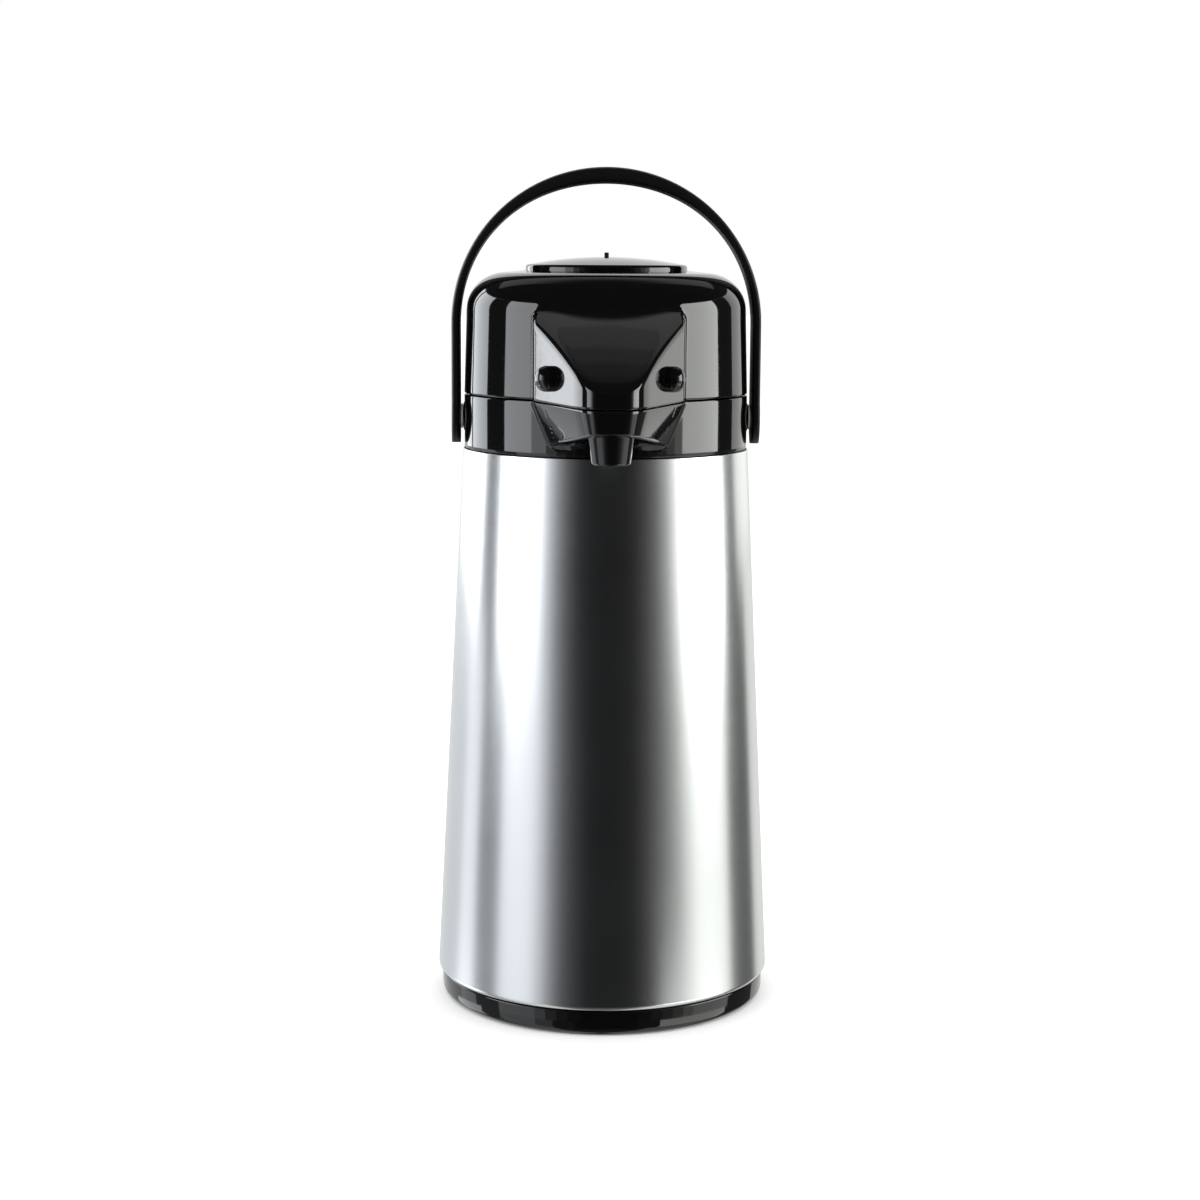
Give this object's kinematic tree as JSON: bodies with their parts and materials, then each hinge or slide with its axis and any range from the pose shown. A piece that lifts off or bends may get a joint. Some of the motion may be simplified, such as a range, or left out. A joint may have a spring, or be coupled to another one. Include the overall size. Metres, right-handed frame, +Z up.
{
  "type": "thermal coffee airpot",
  "caption": "Tapered steel vacuum airpot with a push-button pump lid, a spout housing, a fold-back carry handle and a swivel base.",
  "frame": {"origin": "centre of the base's flat underside, on the table under the body's axis", "axes": "+Z up along the body's axis, -Y towards the spout, +X to the right of the spout seen from the front"},
  "size_m": [0.165, 0.2105, 0.4093],
  "materials": {
    "gloss_black": "high gloss",
    "satin_black": "satin",
    "brushed_steel": "satin brushed, vertical sheen",
    "plain_steel": "plain",
    "silvered_glass": "silvered glass",
    "grey_rubber": "matt",
    "white_rubber": "matt silicone",
    "natural_plastic": "natural moulded",
    "nylon": "nylon"
  },
  "bodies": {
    "base": {"swivel_base": "gloss_black", "foot_pad_1": "grey_rubber", "foot_pad_2": "grey_rubber", "foot_pad_3": "grey_rubber", "foot_pad_4": "grey_rubber", "thrust_ring": "nylon", "pivot_screw": "plain_steel"},
    "pot": {"steel_shell": "brushed_steel", "bottom_cap": "satin_black", "liner_adjuster": "natural_plastic", "glass_flask": "silvered_glass", "flask_seal_tip": "silvered_glass", "flask_cushion": "grey_rubber", "shoulder_gasket": "white_rubber", "neck_gasket": "white_rubber", "collar": "gloss_black", "lid_hinge_pin": "plain_steel", "handle_pin_left": "plain_steel", "handle_pin_right": "plain_steel", "handle_washer_left": "nylon", "handle_washer_right": "nylon", "pump_stopper": "natural_plastic", "stopper_seal": "white_rubber", "siphon_tube": "natural_plastic", "pour_tube": "natural_plastic", "spout_nozzle": "gloss_black"},
    "valve": {"valve_ball": "plain_steel"},
    "lid": {"lid_shell": "gloss_black", "pump_housing": "natural_plastic", "lid_screw_1": "plain_steel", "lid_screw_2": "plain_steel", "lid_screw_3": "plain_steel", "air_port_seal": "white_rubber", "air_valve_flap": "grey_rubber", "bellows": "grey_rubber", "bellows_spring": "plain_steel"},
    "lock": {"lock_ring": "satin_black"},
    "button": {"push_button": "gloss_black", "button_index_pip": "satin_black", "bellows_top_disc": "natural_plastic"},
    "release_left": {"release_button_left": "gloss_black", "latch_hook_left": "natural_plastic", "release_spring_left": "plain_steel"},
    "release_right": {"release_button_right": "gloss_black", "latch_hook_right": "natural_plastic", "release_spring_right": "plain_steel"},
    "carry_handle": {"handle": "satin_black"}
  },
  "joints": [
    {"name": "base_swivel", "type": "hinge", "parent": "base", "child": "pot", "pos_m": [0, 0, 0.0064], "axis": [0, 0, 1], "continuous": true},
    {"name": "valve_ball_lift", "type": "slide", "parent": "pot", "child": "valve", "axis": [0, 0, 1], "range_m": [0, 0.003]},
    {"name": "lid_hinge", "type": "hinge", "parent": "pot", "child": "lid", "pos_m": [0, 0.0735, 0.3004], "axis": [-1, 0, 0], "range_deg": [0, 40]},
    {"name": "handle_swing", "type": "hinge", "parent": "pot", "child": "carry_handle", "pos_m": [0, 0, 0.289], "axis": [1, 0, 0], "range_deg": [-110, 0]},
    {"name": "button_turn", "type": "hinge", "parent": "lid", "child": "lock", "pos_m": [0, 0, 0.33], "axis": [0, 0, 1], "range_deg": [0, 40]},
    {"name": "button_press", "type": "slide", "parent": "lock", "child": "button", "axis": [0, 0, -1], "range_m": [0, 0.014], "stiffness_N_per_m": 500, "springref_m": -0.01, "deforming": ["bellows", "bellows_spring"]},
    {"name": "release_left_press", "type": "slide", "parent": "lid", "child": "release_left", "axis": [0.9323, 0.3617, 0], "range_m": [0, 0.003], "stiffness_N_per_m": 600, "springref_m": -0.002, "deforming": ["release_spring_left"]},
    {"name": "release_right_press", "type": "slide", "parent": "lid", "child": "release_right", "axis": [-0.9323, 0.3617, 0], "range_m": [0, 0.003], "stiffness_N_per_m": 600, "springref_m": -0.002, "deforming": ["release_spring_right"]}
  ],
  "couplings": [
    {"joint": "handle_swing", "follows": "lid_hinge", "ratio": -2.75}
  ]
}
